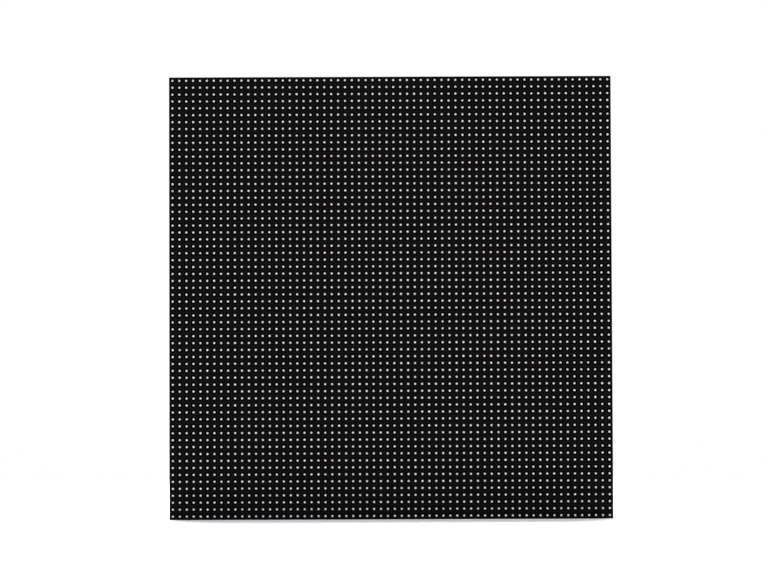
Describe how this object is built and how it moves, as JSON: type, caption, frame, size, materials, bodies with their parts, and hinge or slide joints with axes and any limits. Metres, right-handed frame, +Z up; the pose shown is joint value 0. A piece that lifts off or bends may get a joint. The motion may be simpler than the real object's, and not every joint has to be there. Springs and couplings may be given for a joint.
{
  "type": "led display module",
  "caption": "Square black display tile: round white lamps in a moulded mask on a circuit board, with a ribbed rear frame, threaded inserts, data headers and a power header.",
  "frame": {"origin": "middle of the rear mounting plane, at the centre of the corner inserts' pattern", "axes": "+X to the right seen from the front, +Z up, the lamps face -Y and +Y points to the carrier"},
  "size_m": [0.2558, 0.018, 0.2558],
  "materials": {
    "mask_plastic": "matt black moulded polycarbonate, fine texture",
    "lamp_resin": "milky white resin, satin",
    "board_laminate": "black solder mask, matt",
    "frame_plastic": "black moulded glass-filled plastic, satin",
    "insert_brass": "turned",
    "screw_steel": "black zinc",
    "shroud_plastic": "black moulded polyester",
    "contact_gold": "gold flash",
    "housing_nylon": "natural white nylon",
    "contact_tin": "bright tin plate",
    "resistor_ceramic": "black glaze on ceramic",
    "capacitor_ceramic": "tan ceramic",
    "chip_epoxy": "black moulding compound",
    "can_aluminium": "drawn aluminium can on a black base"
  },
  "bodies": {
    "root": {"front_mask": "mask_plastic", "led_lenses": "lamp_resin", "circuit_board": "board_laminate", "rear_frame": "frame_plastic", "threaded_inserts": "insert_brass", "mask_pillars": "insert_brass", "mask_screws": "screw_steel", "data_in_shroud": "shroud_plastic", "data_in_contacts": "contact_gold", "data_out_shroud": "shroud_plastic", "data_out_contacts": "contact_gold", "power_housing": "housing_nylon", "power_contacts": "contact_tin", "resistor_arrays": "resistor_ceramic", "chip_capacitors": "capacitor_ceramic", "driver_chip_1": "chip_epoxy", "driver_chip_2": "chip_epoxy", "driver_chip_3": "chip_epoxy", "driver_chip_4": "chip_epoxy", "driver_chip_5": "chip_epoxy", "driver_chip_6": "chip_epoxy", "driver_chip_7": "chip_epoxy", "driver_chip_8": "chip_epoxy", "driver_chip_9": "chip_epoxy", "driver_chip_10": "chip_epoxy", "driver_chip_11": "chip_epoxy", "driver_chip_12": "chip_epoxy", "driver_chip_13": "chip_epoxy", "driver_chip_14": "chip_epoxy", "driver_chip_15": "chip_epoxy", "driver_chip_16": "chip_epoxy", "driver_chip_17": "chip_epoxy", "driver_chip_18": "chip_epoxy", "driver_chip_19": "chip_epoxy", "driver_chip_20": "chip_epoxy", "driver_chip_21": "chip_epoxy", "driver_chip_22": "chip_epoxy", "driver_chip_23": "chip_epoxy", "driver_chip_24": "chip_epoxy", "row_chip_1": "chip_epoxy", "row_chip_2": "chip_epoxy", "row_chip_3": "chip_epoxy", "row_chip_4": "chip_epoxy", "row_chip_5": "chip_epoxy", "row_chip_6": "chip_epoxy", "row_chip_7": "chip_epoxy", "row_chip_8": "chip_epoxy", "buffer_chip_1": "chip_epoxy", "buffer_chip_2": "chip_epoxy", "buffer_chip_3": "chip_epoxy", "buffer_chip_4": "chip_epoxy", "electrolytic_can_1": "can_aluminium", "electrolytic_can_2": "can_aluminium", "electrolytic_can_3": "can_aluminium", "electrolytic_can_4": "can_aluminium", "electrolytic_can_5": "can_aluminium", "electrolytic_can_6": "can_aluminium", "electrolytic_can_7": "can_aluminium", "electrolytic_can_8": "can_aluminium"}
  },
  "joints": []
}
